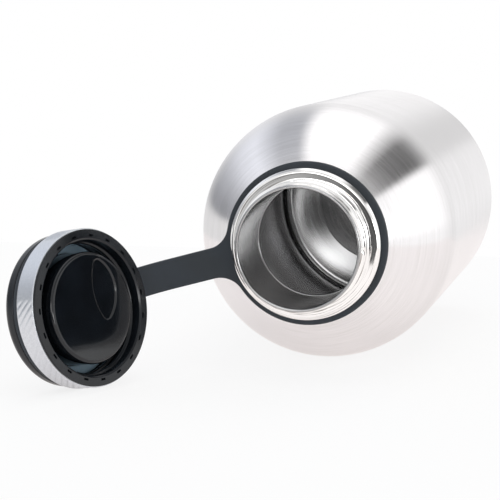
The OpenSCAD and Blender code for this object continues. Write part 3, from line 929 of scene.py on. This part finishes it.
# One side of the flat strap as two lines that run along it: the outer edge, and the hole or the middle
# of the arm. The ring goes from its far side to the arm, then a fillet leads into the arm's edge
def strapRing(hole, outer, flare, offset, stub, s):
    inner = hole + s["edge"]
    reach = flareEnd(outer, flare, offset)
    touch = math.atan2(offset + flare, reach)
    angle = np.linspace(math.pi, touch, s["ringRows"])
    around = np.stack([np.cos(angle), np.sin(angle)], axis=1)
    n = s["flareRows"]
    fillet = arc([reach, offset + flare], flare, math.degrees(touch) + 180, 270, 2 * n)[1:]
    last = np.linspace(touch, 0, n + 1)[1:]
    nearHole = inner * np.stack([np.cos(last), np.sin(last)], axis=1)
    middle = line([inner, 0], [stub, 0], n)[1:]
    outside = np.concatenate([outer * around, fillet])
    inside = np.concatenate([inner * around, nearHole, middle])
    return outside, inside, len(angle) + n


# From the flat strap to its place: straight, then round the bend while it twists, then straight again
def strapBend(along, across, through, start, s):
    bend, twist = math.radians(s["bendDeg"]), math.radians(s["twistDeg"])
    turned = np.clip((along - start) / s["bendRadius"], 0, bend)
    before = np.minimum(along, start)
    after = np.maximum(along - start - s["bendRadius"] * bend, 0)
    tilt = twist * turned / bend
    u = before + s["bendRadius"] * np.sin(turned) + after * np.cos(turned)
    v = s["bendRadius"] * (1 - np.cos(turned)) + after * np.sin(turned)
    faceU, faceV = -np.sin(turned), np.cos(turned)
    inFace = through * np.cos(tilt) - across * np.sin(tilt)
    w = across * np.cos(tilt) + through * np.sin(tilt)
    return u + inFace * faceU, v + inFace * faceV, w


# One moulding: rows run along one side of the strap, columns go over the top, round the edge and back
# underneath. The holes have walls of their own, and the arm's two edges have their own distances
# from the middle
def makeStrap(s):
    collar = measure("strap_collar", bottlePlace)
    thick = (collar["high"] - collar["low"]) / 2
    half, e = s["armWidth"] / 2, s["edge"]
    tangent = s["bendRadius"] * math.tan(math.radians(s["bendDeg"] / 2))
    bendStart = np.linalg.norm(hinge - collarCentre) - tangent
    bendLength = s["bendRadius"] * math.radians(s["bendDeg"])
    length = bendStart + bendLength + np.linalg.norm(loopCentre - hinge) - tangent
    collarRing = (s["collarInner"], s["collarOuter"], s["collarFlare"])
    loopRing = (s["loopInner"], s["loopOuter"], s["loopFlare"])
    collarStub = flareEnd(*collarRing[1:], half - s["armShift"])
    loopStub = flareEnd(*loopRing[1:], half - s["armShift"])
    share = np.linspace(0, 1, s["flatColumns"])[:, None, None]
    quarter = np.radians(np.linspace(0, 90, s["edgeColumns"]))
    height = np.concatenate([np.full(s["flatColumns"], thick), thick - e + e * np.cos(quarter)[1:]])
    armDir = unit(hinge - collarCentre)

    def strapPoint(along, across, through):
        u, v, w = strapBend(along, across, through, bendStart, s)
        return collarCentre + u[..., None] * armDir - v[..., None] * bottleAxis + w[..., None] * hingeAxis

    verts, faces, count = [], [], 0
    for side in (1, -1):
        offset = half + side * s["armShift"]
        collarEdge, collarHole, collarRows = strapRing(*collarRing, offset, collarStub, s)
        loopEdge, loopHole, loopRows = strapRing(*loopRing, offset, loopStub, s)
        loopEdge = (loopEdge * [-1, 1] + [length, 0])[::-1]
        loopHole = (loopHole * [-1, 1] + [length, 0])[::-1]
        edge = np.concatenate([collarEdge, line(collarEdge[-1], loopEdge[0], s["armRows"])[1:-1], loopEdge])
        middle = np.concatenate([collarHole, line(collarHole[-1], loopHole[0], s["armRows"])[1:-1], loopHole])
        run = np.gradient(edge, axis=0)
        normal = np.stack([-run[:, 1], run[:, 0]], axis=1)
        normal[[0, -1]] = [[-1, 0], [1, 0]]
        normal = normal / np.linalg.norm(normal, axis=1)[:, None]
        flat = middle + share * (edge - e * normal - middle)
        rounded = edge - e * normal + e * np.sin(quarter)[1:, None, None] * normal
        over = np.concatenate([flat, rounded])
        grids = [(np.concatenate([over, over[::-1]]), np.concatenate([height, -height[::-1]]))]
        # walls of the two holes
        for centre, inner, rows in (([0, 0], s["collarInner"], slice(0, collarRows)),
                                    ([length, 0], s["loopInner"], slice(len(edge) - loopRows, len(edge)))):
            outward = (middle[rows] - centre) / (inner + e)
            reach = inner + e - e * np.sin(quarter)
            reach = np.concatenate([reach, reach[::-1]])
            wallHeight = thick - e + e * np.cos(quarter)
            wallHeight = np.concatenate([wallHeight, -wallHeight[::-1]])
            grids.append((np.array(centre) + reach[:, None, None] * outward, wallHeight))
        for grid, level in grids:
            columns, rows = grid.shape[:2]
            i, j = np.arange(columns - 1)[:, None], np.arange(rows - 1)[None]
            here, beside = i * rows + j, (i + 1) * rows + j
            quads = np.stack([here, here + 1, beside + 1, beside], axis=-1)
            points = strapPoint(grid[..., 0], side * grid[..., 1], level[:, None] + 0 * grid[..., 0])
            verts.append(points.reshape(-1, 3))
            faces.append(quads.reshape(-1, 4)[:, ::side] + count)
            count += columns * rows
    mesh = bpy.data.meshes.new("strap")
    mesh.from_pydata((np.concatenate(verts) * metre).tolist(), [], np.concatenate(faces).tolist())
    joined = bmesh.new()
    joined.from_mesh(mesh)
    bmesh.ops.remove_doubles(joined, verts=joined.verts, dist=s["joinDistance"] * metre)
    bmesh.ops.recalc_face_normals(joined, faces=joined.faces)
    joined.to_mesh(mesh)
    joined.free()
    mesh.shade_smooth()
    piece = bpy.data.objects.new("strap", mesh)
    bpy.context.scene.collection.objects.link(piece)
    mesh.materials.append(strapSilicone)
    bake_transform(piece)
    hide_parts("strap_collar", "strap_arm", "strap_loop")
    print(piece.name, len(mesh.polygons), "faces")
    return piece


makeStrap(strap)

# The pieces inside the walls and the plug, and the seal in the base, keep their solids and get their finish
for node, material in (("copper_foil", copperFoil), ("getter", getterPowder), ("vacuum_seal", sealGlass),
                       ("cap_foam", plugFoam)):
    mesh = frame["nodes"][node].data
    mesh.materials.clear()
    mesh.materials.append(material)
print("shapes made")

# Camera

view = {
    "place": (0.16918, -0.80266, 0.10476),
    "azimuthDeg": 13.406,
    "elevationDeg": 7.305,
    "lens": 129.64,
}
azimuth, elevation = math.radians(view["azimuthDeg"]), math.radians(view["elevationDeg"])
level = math.cos(elevation)  # the part of the look that is level
looking = Vector((-math.sin(azimuth) * level, math.cos(azimuth) * level, -math.sin(elevation)))
camera = bpy.data.objects.new("camera", bpy.data.cameras.new("camera"))
camera.data.lens = view["lens"]
camera.location = view["place"]
camera.rotation_euler = looking.to_track_quat("-Z", "Y").to_euler()
bpy.context.scene.collection.objects.link(camera)
bpy.context.scene.camera = camera
bpy.context.scene.view_settings.view_transform = "Standard"
print("camera placed")

# Floor and light

stage = {
    "floorHalf": 0.42,
    "floorShift": 0.06,
    "floorGap": 0.0003,
    "floorColour": "F4F4F4",
    "whiteShare": 0.8,
    "whiteLevel": 1.02,
    "mirroredShare": 0.5,
    "mirroredLevel": 1.3,
    "mirroredColour": "FFF8F5",
}
bodyRadius = measure("body_tube", bottlePlace)["outer"] * metre


# White table that ends a little way from the bottle, as its reflection in the steel shows
def makeFloor(s):
    h, height = s["floorHalf"], -bodyRadius - s["floorGap"]
    corners = ((-1, -1), (1, -1), (1, 1), (-1, 1))
    mesh = bpy.data.meshes.new("floor")
    mesh.from_pydata([(x * h, y * h + s["floorShift"], height) for x, y in corners], [], [(0, 1, 2, 3)])
    floor = bpy.data.objects.new("floor", mesh)
    bpy.context.scene.collection.objects.link(floor)
    material = bpy.data.materials.new("tableWhite")
    material.use_nodes = True
    tree = material.node_tree
    tree.nodes.clear()
    path = addNode(tree, "ShaderNodeLightPath")
    matte = addNode(tree, "ShaderNodeBsdfDiffuse", {"Color": linear(s["floorColour"])})
    white = addNode(tree, "ShaderNodeEmission", {"Color": (1, 1, 1, 1), "Strength": s["whiteLevel"]})
    warm = addNode(tree, "ShaderNodeEmission",
                   {"Color": linear(s["mirroredColour"]), "Strength": s["mirroredLevel"]})
    mirrored = addNode(tree, "ShaderNodeMath",
                       {0: path.outputs["Is Glossy Ray"], 1: path.outputs["Is Transmission Ray"]},
                       operation="MAXIMUM")
    mirrored = addNode(tree, "ShaderNodeMath", {0: mirrored.outputs[0], 1: s["mirroredShare"]},
                       operation="MULTIPLY")
    seen = addNode(tree, "ShaderNodeMath", {0: path.outputs["Is Camera Ray"], 1: s["whiteShare"]},
                   operation="MULTIPLY")
    mix = addNode(tree, "ShaderNodeMixShader",
                  {0: mirrored.outputs[0], 1: matte.outputs[0], 2: warm.outputs[0]})
    mix = addNode(tree, "ShaderNodeMixShader", {0: seen.outputs[0], 1: mix.outputs[0], 2: white.outputs[0]})
    addNode(tree, "ShaderNodeOutputMaterial", {"Surface": mix.outputs[0]})
    mesh.materials.append(material)


makeFloor(stage)

# Light by angle round the bottle, from the right over the top to the left: a softbox on the right,
# a dark gap, a softbox overhead, a white wall and a grey corner on the left. In front of the bottle are
# a bright window at the right, a panel above the camera and a dark flag below it
studio = {
    "strength": 1.8,
    "ring": [(-180, 0.5), (-120, 0.48), (-80, 0.5), (-50, 0.6), (-3, 0.64), (-1, 0.72),
             (33, 0.74), (37, 0.07), (55, 0.1), (62, 0.42), (70, 0.78), (103, 0.78), (111, 0.29), (124, 0.3),
             (140, 0.58), (150, 0.5), (160, 0.32), (170, 0.21), (176, 0.18), (179, 0.5)],
    "coolFrom": 108,
    "coolTo": 178,
    "cool": (0.95, 0.98, 1.05),
    "front": 0.5,
    "frontFrom": 0.1,
    "frontTo": 0.9,
    "back": 0.52,
    "backFrom": 0.68,
    "backTo": 0.86,
    "key": {"level": 5.0, "middle": (0.58, -0.81, 0.0), "half": (0.2, 0.2, 0.15)},
    "panel": {"level": 1.8, "middle": (-0.04, -0.95, 0.22), "half": (0.24, 1.0, 0.16)},
    "flag": {"level": 0.06, "middle": (0.2, -0.95, -0.09), "half": (0.46, 1.0, 0.19)},
    "patchEdge": 0.25,
}


def makeStudio(s):
    world = bpy.data.worlds.new("studio")
    bpy.context.scene.world = world
    world.use_nodes = True
    tree = world.node_tree
    tree.nodes.clear()
    spot = addNode(tree, "ShaderNodeTexCoord")
    ray = addNode(tree, "ShaderNodeSeparateXYZ", {0: spot.outputs["Generated"]})
    angle = addNode(tree, "ShaderNodeMath", {0: ray.outputs["Z"], 1: ray.outputs["X"]}, operation="ARCTAN2")
    turn = addNode(tree, "ShaderNodeMapRange", {0: angle.outputs[0], 1: -math.pi, 2: math.pi, 3: 0.0, 4: 1.0})
    tint = {True: np.array(s["cool"]), False: np.ones(3)}
    ring = addNode(tree, "ShaderNodeValToRGB", {0: turn.outputs[0]},
                   stops=[((deg + 180) / 360, (*(level * tint[s["coolFrom"] < deg < s["coolTo"]]), 1))
                          for deg, level in s["ring"]])
    front = addNode(tree, "ShaderNodeMapRange",
                    {0: ray.outputs["Y"], 1: -s["frontFrom"], 2: -s["frontTo"], 3: 0.0, 4: 1.0})
    back = addNode(tree, "ShaderNodeMapRange",
                   {0: ray.outputs["Y"], 1: s["backFrom"], 2: s["backTo"], 3: 0.0, 4: 1.0})
    light = ring.outputs[0]
    for share, level in ((front, s["front"]), (back, s["back"])):
        mix = addNode(tree, "ShaderNodeMix", {0: share.outputs[0], 6: light, 7: (level,) * 3 + (1,)},
                      data_type="RGBA")
        light = mix.outputs[2]
    # a patch is an ellipse of ray directions round its middle
    edge = s["patchEdge"]
    for patch in (s["key"], s["panel"], s["flag"]):
        off = addNode(tree, "ShaderNodeVectorMath", {0: spot.outputs["Generated"], 1: patch["middle"]},
                      operation="SUBTRACT")
        off = addNode(tree, "ShaderNodeVectorMath", {0: off.outputs[0], 1: patch["half"]}, operation="DIVIDE")
        off = addNode(tree, "ShaderNodeVectorMath", {0: off.outputs[0]}, operation="LENGTH")
        inside = addNode(tree, "ShaderNodeMapRange",
                         {0: off.outputs["Value"], 1: 1 + edge, 2: 1 - edge, 3: 0.0, 4: 1.0})
        mix = addNode(tree, "ShaderNodeMix",
                      {0: inside.outputs[0], 6: light, 7: (patch["level"],) * 3 + (1,)}, data_type="RGBA")
        light = mix.outputs[2]
    room = addNode(tree, "ShaderNodeBackground", {"Color": light, "Strength": s["strength"]})
    white = addNode(tree, "ShaderNodeBackground", {"Color": (1, 1, 1, 1), "Strength": 1.0})
    path = addNode(tree, "ShaderNodeLightPath")
    mix = addNode(tree, "ShaderNodeMixShader",
                  {0: path.outputs["Is Camera Ray"], 1: room.outputs[0], 2: white.outputs[0]})
    addNode(tree, "ShaderNodeOutputWorld", {"Surface": mix.outputs[0]})


makeStudio(studio)
print("studio lit")
